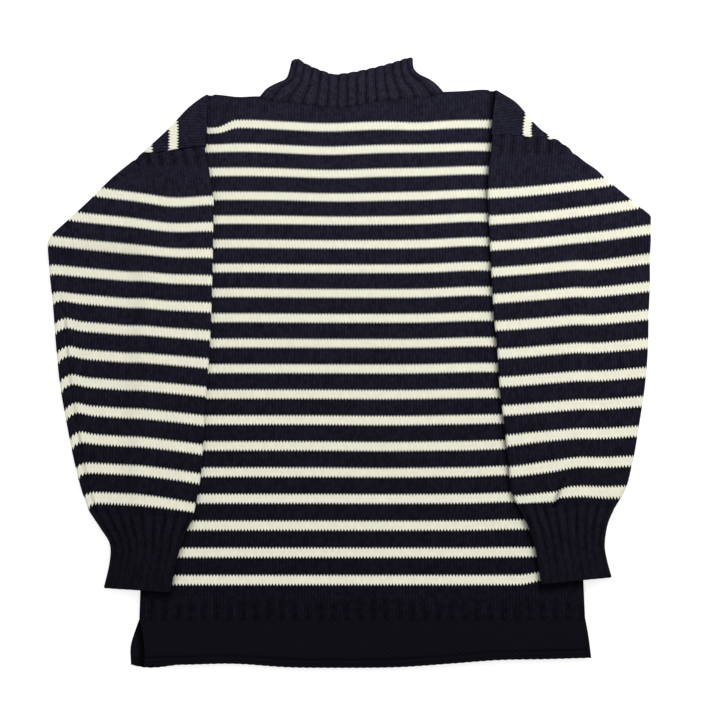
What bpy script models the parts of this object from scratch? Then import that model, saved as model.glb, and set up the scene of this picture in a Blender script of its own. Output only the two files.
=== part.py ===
"""A guernsey fisherman sweater, laid flat with its front up and its sleeves folded down over it.

Run with: blender --background --python part.py

Metres, +Z up. The table is z = 0 and the collar points to +Y. Shapes are worked out in the
garment's own plan: x from the centre line, y up from the lowest point of the hem. The last
step shifts everything so that the origin is under the middle of the whole garment.

Each body panel is one flat wall. Each sleeve, cuff and the collar is a flattened tube, two
walls with a slot between them, open at both ends. The shoulder corners and the sleeves are
made as if spread out, and then bent over a slanting line at each shoulder.
"""
import math
from collections import namedtuple

import bmesh
import bpy
from mathutils import Vector

# Cloth
WALL = 0.003                      # thickness of the plain knit, and of the ribbing laid flat
GAP = 0.0003                      # clearance between pieces, and between the walls of a tube
TUBE_HEIGHT = 2 * WALL + GAP
TUBE_RADIUS = TUBE_HEIGHT / 2
EDGE_ROUND = 0.0022               # rounding along a panel's outer edge
SLIVER = 0.00003                  # points closer than this are one point
ARC_STEPS = 4                     # facets in the half round along a tube's side

# Body, flat
HALF_WIDTH = 0.2530               # half of the chest, measured across the flat body
WELT_TOP = 0.0555                 # height of the split welt
HEM_LEFT = -0.2505                # ends of the seam between the body and the welt
HEM_RIGHT = 0.2555
ARMPIT_Y = {"left": 0.5015, "right": 0.5065}
SHOULDER_TIP = {"left": (-0.1900, 0.6950), "right": (0.1740, 0.7010)}
NECK_LEFT = (-0.1257, 0.6925)
NECK_RIGHT = (0.1050, 0.6985)
NECK_DEPTH = 0.0150               # how far the front neckline dips below its two ends
BACK_NECK_DEPTH = 0.0020
NECK_STEPS = 8
NECK_CLEARANCE = 0.0005           # from the neckline up to the collar

# Fold at each shoulder: (x, y) on the visible edge, and the edge's lean from level in degrees
FOLD_EDGE = {"left": (-0.2500, 0.6350), "right": (0.2670, 0.6135)}
FOLD_LEAN = {"left": 135.0, "right": 48.1}
FOLD_Z = TUBE_HEIGHT + GAP / 2    # the layers turn about a line at this height
FOLD_LENGTH = math.pi * (FOLD_Z - TUBE_RADIUS)
FOLD_STEPS = 9
UPRIGHT = 0.1                     # a face whose normal rises less than this stands upright

# Where a folded sleeve runs past the side of the body, it comes down onto the table
DROP = TUBE_HEIGHT + GAP
DROP_LENGTH = 0.030
DROP_STEPS = 5

# Sleeves and cuffs, seen folded: each row is a section across the tube, from shoulder to hand.
# Its two ends are on the underarm edge (outer) and on the top edge (inner).
Section = namedtuple("Section", "outer_x outer_y inner_x inner_y")
SLEEVE_HEAD_INNER = {"left": (-0.1900, 0.6245), "right": (0.1620, 0.6395)}
SLEEVE_SECTIONS = {
    "left": (
        (-0.3780, 0.5550, -0.1785, 0.5650),
        (-0.3765, 0.4735, -0.1776, 0.4645),
        (-0.3690, 0.4235, -0.1776, 0.4150),
        (-0.3627, 0.3740, -0.1785, 0.3640),
        (-0.3553, 0.3255, -0.1810, 0.3135),
        (-0.3446, 0.2775, -0.1830, 0.2645),
        (-0.3328, 0.2305, -0.1845, 0.2185),
        (-0.3206, 0.1955, -0.1890, 0.1860),
    ),
    "right": (
        (0.3550, 0.5600, 0.1554, 0.5710),
        (0.3520, 0.4990, 0.1573, 0.5000),
        (0.3498, 0.4500, 0.1585, 0.4470),
        (0.3462, 0.4100, 0.1600, 0.4050),
        (0.3437, 0.3740, 0.1628, 0.3685),
        (0.3376, 0.3255, 0.1645, 0.3220),
        (0.3282, 0.2775, 0.1690, 0.2745),
        (0.3177, 0.2305, 0.1729, 0.2290),
        (0.3056, 0.1955, 0.1765, 0.1945),
    ),
}
CUFF_SEAM = {
    "left": (-0.3110, 0.1755, -0.1925, 0.1675),
    "right": (0.2950, 0.1795, 0.1835, 0.1800),
}
CUFF_SECTIONS = {
    "left": (
        (-0.2975, 0.1560, -0.2005, 0.1495),
        (-0.2885, 0.1380, -0.2065, 0.1305),
        (-0.2880, 0.1165, -0.2110, 0.1115),
        (-0.2915, 0.0885, -0.2152, 0.0830),
    ),
    "right": (
        (0.2867, 0.1610, 0.1935, 0.1575),
        (0.2823, 0.1380, 0.2005, 0.1335),
        (0.2840, 0.1205, 0.2040, 0.1110),
        (0.2885, 0.1010, 0.2060, 0.0940),
    ),
}

# Collar: rows from its seam to its rim, with how far each wall dips in the middle
CollarRow = namedtuple("CollarRow", "left_x left_y right_x right_y front_dip back_dip")
COLLAR_SECTIONS = (
    (-0.1257, 0.6925, 0.1050, 0.6985, NECK_DEPTH, BACK_NECK_DEPTH),
    (-0.1172, 0.7035, 0.0960, 0.7095, 0.0165, 0.0040),
    (-0.1050, 0.7110, 0.0865, 0.7170, 0.0180, 0.0075),
    (-0.0935, 0.7170, 0.0745, 0.7235, 0.0180, 0.0100),
    (-0.0895, 0.7270, 0.0675, 0.7320, 0.0185, 0.0145),
    (-0.0860, 0.7450, 0.0665, 0.7455, 0.0225, 0.0215),
)
COLLAR_ACROSS = 8

# Welts: (x, y) points from the top right corner, down and back along the lower edge
FRONT_WELT = (
    (HEM_RIGHT, WELT_TOP), (0.2582, 0.0380), (0.2608, 0.0110), (0.2100, 0.0095),
    (0.1580, 0.0085), (0.1015, 0.0045), (0.0450, 0.0008), (-0.0225, 0.0000),
    (-0.0790, 0.0005), (-0.1465, 0.0045), (-0.1920, 0.0035), (-0.2430, 0.0025),
    (-0.2440, 0.0250), (HEM_LEFT, WELT_TOP),
)
BACK_WELT = (
    (HEM_RIGHT, WELT_TOP), (0.2560, 0.0380), (0.2565, 0.0130), (0.1580, 0.0100),
    (0.0450, 0.0030), (-0.0790, 0.0025), (-0.1920, 0.0045), (-0.2540, 0.0010),
    (-0.2585, 0.0060), (-0.2595, 0.0250), (-0.2550, 0.0420), (HEM_LEFT, WELT_TOP),
)

NAVY = (0.0123, 0.0116, 0.0198, 1.0)
NAVY_RIB = (0.0160, 0.0152, 0.0245, 1.0)
NAVY_WELT = (0.0066, 0.0060, 0.0100, 1.0)
KNIT_ROUGHNESS = 0.92

SIDES = ("left", "right")
OUTWARD = {"left": -1.0, "right": 1.0}


def clear_scene():
    for existing in list(bpy.data.objects):
        bpy.data.objects.remove(existing, do_unlink=True)


def knit_material(name, color):
    material = bpy.data.materials.new(name)
    material.use_nodes = True
    shader = material.node_tree.nodes["Principled BSDF"]
    shader.inputs["Base Color"].default_value = color
    shader.inputs["Roughness"].default_value = KNIT_ROUGHNESS
    shader.inputs["Metallic"].default_value = 0.0
    return material


def object_from(name, shape, color):
    """Turn a bmesh into a named object with its own material, and free the bmesh."""
    bmesh.ops.remove_doubles(shape, verts=shape.verts[:], dist=SLIVER)
    bmesh.ops.triangulate(shape, faces=shape.faces[:])
    mesh = bpy.data.meshes.new(name)
    shape.to_mesh(mesh)
    shape.free()
    mesh.materials.append(knit_material(name + "_knit", color))
    piece = bpy.data.objects.new(name, mesh)
    bpy.context.scene.collection.objects.link(piece)
    return piece


def smooth_step(amount):
    amount = min(max(amount, 0.0), 1.0)
    return amount * amount * (3 - 2 * amount)


def cut(shape, point, normal):
    """Add an edge loop where a plane crosses the shape, without taking anything away."""
    whole = shape.verts[:] + shape.edges[:] + shape.faces[:]
    bmesh.ops.bisect_plane(shape, geom=whole, plane_co=point, plane_no=normal, dist=1e-6)


# The fold at the shoulders

def fold_normal(side):
    lean = math.radians(FOLD_LEAN[side])
    return Vector((math.cos(lean), math.sin(lean)))


def fold_axis(side):
    """A point under the line that the layers turn about, inside the visible edge."""
    return Vector(FOLD_EDGE[side]) - fold_normal(side) * FOLD_Z


def across_fold(side, point):
    """Where a point goes when the corner is folded over, or spread out again."""
    normal = fold_normal(side)
    beyond = (Vector(point) - fold_axis(side)).dot(normal)
    return Vector(point) + normal * (FOLD_LENGTH - 2 * beyond)


def split_side_faces(shape, normal):
    """Split each upright face the same way, so that both sides of a seam bend alike."""
    shape.faces.ensure_lookup_table()
    for face in shape.faces[:]:
        if len(face.verts) == 4 and abs(face.normal.z) < UPRIGHT:
            ranked = sorted(face.verts, key=lambda vert: vert.co.xy.dot(normal) - vert.co.z)
            if not shape.edges.get((ranked[0], ranked[-1])):
                bmesh.utils.face_split(face, ranked[0], ranked[-1])


def fold_over(shape, side):
    """Bend what lies beyond the fold up and back over the rest."""
    normal = fold_normal(side)
    axis = fold_axis(side)
    for step in range(FOLD_STEPS + 1):
        point = axis + normal * (FOLD_LENGTH * step / FOLD_STEPS)
        cut(shape, (point.x, point.y, 0.0), (normal.x, normal.y, 0.0))
    split_side_faces(shape, normal)
    for vert in shape.verts:
        beyond = (vert.co.xy - axis).dot(normal)
        if beyond <= 0:
            continue
        turn = math.pi * min(beyond / FOLD_LENGTH, 1.0)
        radius = FOLD_Z - vert.co.z
        past = max(beyond - FOLD_LENGTH, 0.0)
        shift = radius * math.sin(turn) - past - beyond
        vert.co.x += normal.x * shift
        vert.co.y += normal.y * shift
        vert.co.z = FOLD_Z - radius * math.cos(turn)


def rest_on_table(shape, side):
    """Let the folded sleeve down onto the table where it runs past the body's side."""
    out = OUTWARD[side]
    armpit_y = ARMPIT_Y[side]
    for step in range(DROP_STEPS + 1):
        reach = DROP_LENGTH * step / DROP_STEPS
        cut(shape, (out * (HALF_WIDTH + reach), 0.0, 0.0), (1.0, 0.0, 0.0))
        cut(shape, (0.0, armpit_y - reach, 0.0), (0.0, 1.0, 0.0))
    for vert in shape.verts:
        if vert.co.z < DROP - GAP / 2:
            continue
        past_side = smooth_step((out * vert.co.x - HALF_WIDTH) / DROP_LENGTH)
        past_armpit = smooth_step((armpit_y - vert.co.y) / DROP_LENGTH)
        vert.co.z -= DROP * past_side * past_armpit


# Flat panels

def neckline(depth):
    """Points from the right end of the neck opening to its left end, dipping by depth."""
    points = []
    for step in range(NECK_STEPS + 1):
        along = step / NECK_STEPS
        level = Vector(NECK_RIGHT).lerp(Vector(NECK_LEFT), along)
        level.y -= depth * (1 - (2 * along - 1) ** 2) + NECK_CLEARANCE
        points.append((level.x, level.y, False))
    return points


def panel(name, outline, bottom, upper, color, folded=False):
    """A wall of even thickness on an outline of (x, y, free).

    Where free is set, the edge from that point to the next isn't sewn to anything in the same
    layer, and its outer corner is rounded: the upper one on an upper panel.
    """
    shape = bmesh.new()
    rim = [shape.verts.new((x, y, bottom)) for x, y, free in outline]
    base = shape.faces.new(rim)
    raised = bmesh.ops.extrude_face_region(shape, geom=[base])["geom"]
    top = [item for item in raised if isinstance(item, bmesh.types.BMVert)]
    bmesh.ops.translate(shape, vec=(0.0, 0.0, WALL), verts=top)
    bmesh.ops.recalc_face_normals(shape, faces=shape.faces[:])
    loop = top if upper else rim
    free_edges = []
    for index, (x, y, free) in enumerate(outline):
        if free:
            free_edges.append(shape.edges.get((loop[index], loop[(index + 1) % len(loop)])))
    bmesh.ops.bevel(shape, geom=free_edges, offset=EDGE_ROUND, offset_type="OFFSET",
                    affect="EDGES", segments=2, profile=0.5, material=-1)
    if folded:
        for side in SIDES:
            fold_over(shape, side)
    return object_from(name, shape, color)


def body_outline(neck_depth):
    """A body panel spread out, with its two shoulder corners."""
    left_head = across_fold("left", SLEEVE_HEAD_INNER["left"])
    right_head = across_fold("right", SLEEVE_HEAD_INNER["right"])
    return [
        (HEM_LEFT, WELT_TOP + GAP, False),
        (HEM_RIGHT, WELT_TOP + GAP, True),
        (HALF_WIDTH, ARMPIT_Y["right"], False),
        (*right_head, True),
        (*SHOULDER_TIP["right"], True),
        *neckline(neck_depth),
        (*SHOULDER_TIP["left"], True),
        (*left_head, False),
        (-HALF_WIDTH, ARMPIT_Y["left"], True),
    ]


def welt_outline(points):
    """A welt is sewn along its top, from its last point back to its first, and free elsewhere."""
    return [(*point, point is not points[-1]) for point in points]


def make_body():
    back = panel("back", body_outline(BACK_NECK_DEPTH), 0.0, False, NAVY, folded=True)
    front = panel("front", body_outline(NECK_DEPTH), WALL + GAP, True, NAVY, folded=True)
    back_welt = panel("back_welt", welt_outline(BACK_WELT), 0.0, False, NAVY_WELT)
    front_welt = panel("front_welt", welt_outline(FRONT_WELT), WALL + GAP, True, NAVY_WELT)
    return [back, front, back_welt, front_welt]


# Flattened tubes

def ring_points(start, end, radius, across, upper_dip, lower_dip):
    """One loop round a flattened tube: the lower wall out, then the upper wall back."""
    start, end = Vector(start), Vector(end)
    length = (end - start).length
    along = (end - start).normalized()
    flat = length - 2 * TUBE_RADIUS
    places = [(TUBE_RADIUS + flat * step / across, -radius) for step in range(across + 1)]
    for step in range(1, ARC_STEPS):
        turn = math.pi * step / ARC_STEPS
        places.append((TUBE_RADIUS + flat + radius * math.sin(turn), -radius * math.cos(turn)))
    places += [(TUBE_RADIUS + flat * (1 - step / across), radius) for step in range(across + 1)]
    for step in range(1, ARC_STEPS):
        turn = math.pi * step / ARC_STEPS
        places.append((TUBE_RADIUS - radius * math.sin(turn), radius * math.cos(turn)))
    points = []
    for reach, rise in places:
        upper_share = (rise / radius + 1) / 2
        dip = lower_dip + (upper_dip - lower_dip) * upper_share
        spot = start + along * reach
        bow = 1 - (2 * reach / length - 1) ** 2
        points.append((spot.x, spot.y - dip * bow, TUBE_RADIUS + rise))
    return points


def join_rings(shape, first, second):
    """A band of four-sided faces between two rings with the same number of points."""
    for index in range(len(first)):
        corners = (first[index - 1], first[index], second[index], second[index - 1])
        shape.faces.new(corners)


def flat_tube(sections, across=1):
    """A closed wall round a flattened tube, from rows of (start, end, upper dip, lower dip)."""
    shape = bmesh.new()
    skins = []
    for radius in (TUBE_RADIUS, GAP / 2):
        rings = []
        for start, end, upper_dip, lower_dip in sections:
            points = ring_points(start, end, radius, across, upper_dip, lower_dip)
            rings.append([shape.verts.new(point) for point in points])
        for first, second in zip(rings, rings[1:]):
            join_rings(shape, first, second)
        skins.append(rings)
    outer, inner = skins
    join_rings(shape, outer[0], inner[0])
    join_rings(shape, outer[-1], inner[-1])
    bmesh.ops.recalc_face_normals(shape, faces=shape.faces[:])
    return shape


def spread_sections(side, rows):
    """Sections across a sleeve, put back to where they lie before the fold."""
    sections = []
    for row in rows:
        row = Section(*row)
        start = across_fold(side, (row.outer_x, row.outer_y))
        end = across_fold(side, (row.inner_x, row.inner_y))
        sections.append((start, end, 0.0, 0.0))
    return sections


def moved_toward(row, next_row, distance):
    """A section shifted along the sleeve by a small distance, for the clearance at a seam."""
    ends = []
    for place in (slice(0, 2), slice(2, 4)):
        end = Vector(row[place])
        ends.extend(end + (Vector(next_row[place]) - end).normalized() * distance)
    return tuple(ends)


def make_sleeve(side):
    armpit = across_fold(side, (OUTWARD[side] * HALF_WIDTH, ARMPIT_Y[side]))
    head = (*armpit, *SLEEVE_HEAD_INNER[side])
    rows = SLEEVE_SECTIONS[side]
    head = moved_toward(head, rows[0], GAP)
    seam = moved_toward(CUFF_SEAM[side], rows[-1], GAP)
    shape = flat_tube(spread_sections(side, (head, *rows, seam)))
    fold_over(shape, side)
    rest_on_table(shape, side)
    return object_from("sleeve_" + side, shape, NAVY)


def make_cuff(side):
    rows = (CUFF_SEAM[side], *CUFF_SECTIONS[side])
    shape = flat_tube(spread_sections(side, rows))
    fold_over(shape, side)
    rest_on_table(shape, side)
    return object_from("cuff_" + side, shape, NAVY_RIB)


def make_collar():
    sections = []
    for row in COLLAR_SECTIONS:
        row = CollarRow(*row)
        start, end = (row.left_x, row.left_y), (row.right_x, row.right_y)
        sections.append((start, end, row.front_dip, row.back_dip))
    return object_from("collar", flat_tube(sections, across=COLLAR_ACROSS), NAVY_RIB)


def centre_on_origin(pieces):
    """Hang every piece on one empty, placed so that the whole stands centred on the origin."""
    corners = [vert.co for piece in pieces for vert in piece.data.vertices]
    middle_x = (min(co.x for co in corners) + max(co.x for co in corners)) / 2
    middle_y = (min(co.y for co in corners) + max(co.y for co in corners)) / 2
    holder = bpy.data.objects.new("garment", None)
    bpy.context.scene.collection.objects.link(holder)
    holder.location = (-middle_x, -middle_y, 0.0)
    for piece in pieces:
        piece.parent = holder


def main():
    clear_scene()
    pieces = make_body()
    pieces += [make_sleeve(side) for side in SIDES]
    pieces += [make_cuff(side) for side in SIDES]
    pieces.append(make_collar())
    centre_on_origin(pieces)


main()
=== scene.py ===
"""A guernsey fisherman sweater in navy and cream wool, laid flat with its front up.

Metres, +Z up, collar to +Y. Shapes are worked out in the garment's own plan: x from the centre
line, y up from the lowest point of the hem. The shoulder corners and the sleeves are knitted
spread out, and then folded over a slanting line at each shoulder. Every piece is a closed shell
of real thickness with knit coordinates: stitches across, and courses down from the first stripe.
"""
import math
from functools import partial

import bmesh
import bpy
import numpy as np
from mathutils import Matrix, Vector


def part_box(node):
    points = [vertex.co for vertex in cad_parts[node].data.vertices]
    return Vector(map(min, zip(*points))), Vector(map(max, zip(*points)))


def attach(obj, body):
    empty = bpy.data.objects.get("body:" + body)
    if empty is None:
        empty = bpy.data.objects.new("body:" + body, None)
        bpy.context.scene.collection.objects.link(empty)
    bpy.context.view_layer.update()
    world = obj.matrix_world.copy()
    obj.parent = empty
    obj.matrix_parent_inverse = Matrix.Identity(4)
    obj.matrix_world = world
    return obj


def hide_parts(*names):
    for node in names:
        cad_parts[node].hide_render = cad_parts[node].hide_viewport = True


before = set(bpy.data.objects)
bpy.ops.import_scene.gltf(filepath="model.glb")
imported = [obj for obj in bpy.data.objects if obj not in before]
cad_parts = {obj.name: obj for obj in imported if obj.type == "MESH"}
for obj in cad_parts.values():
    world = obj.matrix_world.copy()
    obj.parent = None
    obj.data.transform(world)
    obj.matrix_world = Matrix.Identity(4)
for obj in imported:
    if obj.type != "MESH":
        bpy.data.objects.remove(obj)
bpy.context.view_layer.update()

# Cloth
WALL = 0.0030
GAP = 0.0003
TUBE_RADIUS = WALL + GAP / 2
STITCH = 0.0037                   # width of one stitch
PERIOD_COURSES = 12               # courses in one stripe and the ground below it
STRIPE_COURSES = 4
FREE_ROUND = 0.0026               # rounding along an edge that isn't sewn
SEWN_ROUND = 0.0008
TUBE_END_ROUND = 0.0016
SEWN_LEVEL = 0.93                 # how much of its height a skin keeps at a sewn edge
FAR = 1.0                         # far away from any edge

# Body
HALF_WIDTH = 0.2530
WELT_TOP = 0.0555
HEM_LEFT = -0.2505
HEM_RIGHT = 0.2555
ARMPIT_Y = {"left": 0.5015, "right": 0.5065}
SHOULDER_TIP = {"left": (-0.1900, 0.6950), "right": (0.1740, 0.7010)}
NECK_LEFT = (-0.1257, 0.6925)
NECK_RIGHT = (0.1050, 0.6985)
BACK_NECK_DEPTH = 0.0020
FIRST_STRIPE_Y = 0.6523
BODY_PERIOD = 0.03096
BODY_STRIPES = 19
HEM_RIB_TOP = 0.0765
HEM_RIB_STITCHES = 4
WELT_RIB_NARROWNESS = 2.2         # how narrow the valleys between ribs are
CUFF_RIB_NARROWNESS = 2.8
COLLAR_RIB_NARROWNESS = 3.0

# Bulge of the armhole seam: amount, place above the fold, and reach
ARMHOLE_BULGE = {"left": (0.0112, -0.004, 0.044), "right": (0.0045, 0.018, 0.030)}

# Fold at the shoulders
FOLD_EDGE = {"left": (-0.2500, 0.6350), "right": (0.2670, 0.6135)}
FOLD_LEAN = {"left": 135.0, "right": 48.1}
FOLD_Z = 2 * WALL + GAP + GAP / 2
FOLD_LENGTH = math.pi * (FOLD_Z - TUBE_RADIUS)
FOLD_CUTS = 8
FOLD_CUT_REACH = 0.008            # only faces this near to an edge line are cut
DROP = 2 * WALL + 2 * GAP
DROP_LENGTH = 0.030

# Bulges of the fold's edge: side, place along the edge from its upper end, reach, amount
FOLD_BULGES = (("left", -0.055, 0.026, 0.0034), ("left", 0.075, 0.030, 0.0022),
               ("right", 0.102, 0.018, 0.0036), ("right", 0.054, 0.020, -0.0034),
               ("right", 0.020, 0.012, 0.0014), ("right", -0.030, 0.012, 0.0016))
FOLD_BULGE_DEPTH = 0.016          # how far a bulge reaches in from the edge

# Corners of the folded sleeves, then the shoulder tips: place, the way out in degrees, and
# how much is rounded off
SOFT_CORNERS = (((-0.3770, 0.5080), 160.0, 0.0032), ((0.3560, 0.5350), 24.0, 0.0030),
                ((-0.1913, 0.6949), 106.0, 0.0034), ((0.1690, 0.7016), 74.0, 0.0036))
CORNER_SOFTNESS = 0.4             # share of the depth over which the rounding starts
CORNER_REACH, CORNER_FADE = 0.030, 0.020

# Sleeves, seen folded, from the shoulder to the cuff's seam: (x, y) along each side
SLEEVE_STRIPES = 12
SLEEVE_HEAD_INNER = {"left": (-0.1900, 0.6245), "right": (0.1620, 0.6395)}
UNDERARM_SIDE = {
    "left": ((-0.3780, 0.5550), (-0.3765, 0.4735), (-0.3690, 0.4235), (-0.3627, 0.3740),
             (-0.3553, 0.3255), (-0.3446, 0.2775), (-0.3328, 0.2305), (-0.3218, 0.1955),
             (-0.3135, 0.1755)),
    "right": ((0.3550, 0.5600), (0.3520, 0.4990), (0.3498, 0.4500), (0.3462, 0.4100),
              (0.3437, 0.3740), (0.3376, 0.3255), (0.3282, 0.2775), (0.3177, 0.2305),
              (0.3056, 0.1955), (0.2950, 0.1795)),
}
TOP_SIDE = {
    "left": ((-0.1785, 0.5650), (-0.1776, 0.4645), (-0.1776, 0.4150), (-0.1785, 0.3640),
             (-0.1810, 0.3135), (-0.1830, 0.2645), (-0.1845, 0.2185), (-0.1890, 0.1860),
             (-0.1925, 0.1675)),
    "right": ((0.1554, 0.5710), (0.1573, 0.5000), (0.1585, 0.4470), (0.1600, 0.4050),
              (0.1628, 0.3685), (0.1645, 0.3220), (0.1690, 0.2745), (0.1729, 0.2290),
              (0.1765, 0.1945), (0.1835, 0.1800)),
}
# Height of the first sleeve stripe and the distance to the next: on the top side, in the
# middle of the sleeve and on the underarm side
STRIPE_LINES = {
    "left": ((0.5540, 0.0342), (0.5590, 0.0337), (0.5710, 0.0345)),
    "right": ((0.5635, 0.0341), (0.5722, 0.0343), (0.5860, 0.0352)),
}
UNDERARM_PERIOD = 0.0338          # lengths of a stripe period, where shifts become courses
SLACK_PERIOD = 0.0340
SLEEVE_HEAD_COURSES = 26
SLEEVE_HEAD_RIB = 9.2             # courses of ribbing next to the armhole
CUFF_SECTIONS = {
    "left": ((-0.3135, 0.1755, -0.1925, 0.1675), (-0.2998, 0.1560, -0.2005, 0.1495),
             (-0.2885, 0.1380, -0.2065, 0.1305), (-0.2880, 0.1165, -0.2110, 0.1115),
             (-0.2932, 0.0885, -0.2152, 0.0830)),
    "right": ((0.2950, 0.1795, 0.1835, 0.1800), (0.2867, 0.1610, 0.1935, 0.1575),
              (0.2823, 0.1380, 0.2005, 0.1335), (0.2840, 0.1205, 0.2040, 0.1110),
              (0.2885, 0.1005, 0.2060, 0.0922)),
}
CUFF_RIBS = 9                     # ribs across one wall

# Collar, seam to rim: left end, right end, and how far the front and back walls dip between
COLLAR_SECTIONS = (
    (-0.1257, 0.6925, 0.1050, 0.6985, 0.0150, 0.0020),
    (-0.1172, 0.7035, 0.0960, 0.7095, 0.0165, 0.0040),
    (-0.1050, 0.7110, 0.0865, 0.7170, 0.0180, 0.0075),
    (-0.0935, 0.7170, 0.0745, 0.7235, 0.0180, 0.0100),
    (-0.0895, 0.7270, 0.0675, 0.7320, 0.0185, 0.0145),
    (-0.0860, 0.7450, 0.0665, 0.7455, 0.0225, 0.0215),
)
COLLAR_RIBS = 14
COLLAR_SPREAD = (0.74, 1.12)      # spacing of the middle ribs at the seam and at the rim

# Welts: lower edge from left to right, then the two sides upwards
FRONT_WELT = {
    "lower": ((-0.2430, 0.0025), (-0.1920, 0.0035), (-0.1465, 0.0045), (-0.0790, 0.0005),
              (-0.0225, 0.0000), (0.0450, 0.0008), (0.1015, 0.0045), (0.1580, 0.0085),
              (0.2100, 0.0095), (0.2608, 0.0110)),
    "left": ((-0.2430, 0.0025), (-0.2440, 0.0250), (HEM_LEFT, WELT_TOP)),
    "right": ((0.2608, 0.0110), (0.2582, 0.0380), (HEM_RIGHT, WELT_TOP)),
}
BACK_WELT = {
    "lower": ((-0.2585, 0.0035), (-0.2480, 0.0012), (-0.1920, 0.0045), (-0.0790, 0.0025),
              (0.0450, 0.0030), (0.1580, 0.0100), (0.2565, 0.0130)),
    "left": ((-0.2585, 0.0035), (-0.2595, 0.0250), (-0.2550, 0.0420), (HEM_LEFT, WELT_TOP)),
    "right": ((0.2565, 0.0130), (0.2560, 0.0380), (HEM_RIGHT, WELT_TOP)),
}
WELT_SCALLOP = 0.0080
CAST_ON_HEIGHT = 0.0065           # the corded cast-on line, above the lower edge

SIDES = ("left", "right")
OUTWARD = {"left": -1.0, "right": 1.0}

# Wool colours: at the hem and at the collar; the navy's lighter collar end is painted sheen
NAVY = ((0.0046, 0.0042, 0.0076, 1.0), (0.0113, 0.0107, 0.0202, 1.0))
NAVY_RIB = ((0.0050, 0.0045, 0.0079, 1.0), (0.0156, 0.0145, 0.0252, 1.0))
NAVY_MOSS = ((0.0044, 0.0040, 0.0068, 1.0), (0.0118, 0.0112, 0.0208, 1.0))
CREAM = (0.755, 0.742, 0.612, 1.0)
HEM_END, COLLAR_END = -0.31, 0.32  # where the navy's painted sheen is weakest and strongest
PAINTED_SHEEN_LEAN = 0.12                  # painted sheen: the right side counts as this much nearer to the collar

# Wool relief
LEG_SLANT = 2.4                   # courses that the legs of a V climb per stitch
COLUMN_SHARE, LEG_SHARE = 0.55, 0.45
KNIT_MEAN, MOSS_MEAN = 0.42, 0.50
KNIT_DEPTH, MOSS_DEPTH = 0.0011, 0.0010
BUMP_STRENGTH = 0.5
KNIT_TONE = (1.00, 0.75)          # contrast with height (painted shade in the gaps, painted highlight on the crowns), and unevenness from stitch to stitch
MOSS_TONE = (0.30, 0.55)
CREAM_TONE = (0.04, 0.08)
PAINTED_SHADE_STRENGTH = 0.82               # painted shade: how much darker the wool's colour is in a seam, a rib valley or a cast shadow
WOOL_ROUGHNESS, WOOL_SHEEN = 0.9, 0.03

# Studio: the camera looks down at the table, leaning a little from the hem's side
CAMERA_TILT = 12.8607             # degrees
CAMERA_DISTANCE = 1.5
CAMERA_AIM_Y = 0.3565
CAMERA_LENS, CAMERA_SENSOR = 62.909, 36.0   # mm
WHITE = (1.0, 1.0, 1.0, 1.0)
TABLE_COLOR = (0.55, 0.55, 0.55, 1.0)
TABLE_GLOW = 0.60
TABLE_HALF = 6.0
WORLD_LIGHT = 0.72
# Lights, aimed at the middle of the garment: name, place, size, power
LIGHTS = (("key", (0.75, 1.25, 1.05), 0.6, 19.0), ("fill", (-0.9, -0.6, 1.6), 1.2, 4.0))

plan_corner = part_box("front_welt")[0]
PLAN_TO_FRAME = np.array((plan_corner.x - HEM_LEFT, plan_corner.y, 0.0))


# Curves and edges

def smooth_step(amount):
    amount = np.clip(amount, 0.0, 1.0)
    return amount * amount * (3 - 2 * amount)


def bump(place, centre, width):
    """A soft hill of height 1 at the centre that falls away over about the width."""
    return np.exp(-((place - centre) / width) ** 2)


def height_at(points, x):
    """Smooth y at x through (x, y) points."""
    points = np.array(points, float)
    return hermite(points[:, 0], points[:, 1], x)


def across_at(points, y):
    """Smooth x at y through (x, y) points."""
    points = np.array(points, float)
    return hermite(points[:, 1], points[:, 0], y)


def hermite(knots, values, at):
    """A smooth curve through the values at rising or falling knots."""
    if knots[0] > knots[-1]:
        knots, values = knots[::-1], values[::-1]
    slopes = np.gradient(values, knots)
    at = np.clip(at, knots[0], knots[-1])
    index = np.clip(np.searchsorted(knots, at, side="right") - 1, 0, len(knots) - 2)
    span = knots[index + 1] - knots[index]
    t = (at - knots[index]) / span
    a, b = values[index], values[index + 1]
    return ((2 * t**3 - 3 * t**2 + 1) * a + (t**3 - 2 * t**2 + t) * span * slopes[index]
            + (3 * t**2 - 2 * t**3) * b + (t**3 - t**2) * span * slopes[index + 1])


def rib_valley(phase, narrow):
    """0 on a rib and 1 in the valley between two ribs; the phase counts ribs."""
    return (0.5 + 0.5 * np.cos(2 * np.pi * phase)) ** narrow


def edge_round(distance, radius):
    """Share of the full thickness at a distance from a rounded edge."""
    inside = np.clip(distance / radius, 0.0, 1.0)
    return np.sqrt(np.clip(1 - (1 - inside) ** 2, 0.0, 1.0))


def neck_dip(q):
    """How far the front neck seam lies below the line between its ends, at q along it."""
    q = np.clip(q, 0.0, 1.0)
    return (0.0075 * smooth_step(np.minimum(q, 1 - q) / 0.09)
            + 0.0105 * bump(q, 0.43, 0.19) * smooth_step(np.minimum(q, 1 - q) / 0.20))


def rim_dip(q):
    """How far the collar's rim hangs below the line between its two corners."""
    inside = np.clip((q - 0.055) / 0.90, 0.0, 1.0)
    bow = 4 * inside**0.75 * (1 - inside**0.75)
    tent = np.minimum(inside / 0.33, (1 - inside) / 0.67)
    return 0.0225 * (0.45 * bow + 0.55 * tent) + 0.0030 * bump(q, 0.0, 0.035)


def spaced(count, *near_edge):
    """Places from 0 to 1 with extra ones near both ends."""
    even = [step / count for step in range(1, count)]
    ends = [e for e in near_edge if e < 1 / count]
    even = [e for e in even if not ends or max(ends) < e < 1 - max(ends)]
    return np.array([0.0, *ends, *even, *[1 - e for e in reversed(ends)], 1.0])


# The fold at the shoulders

def fold_normal(side):
    """Which way the fold's edge faces, in plan."""
    lean = math.radians(FOLD_LEAN[side])
    return np.array((math.cos(lean), math.sin(lean)))


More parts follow.
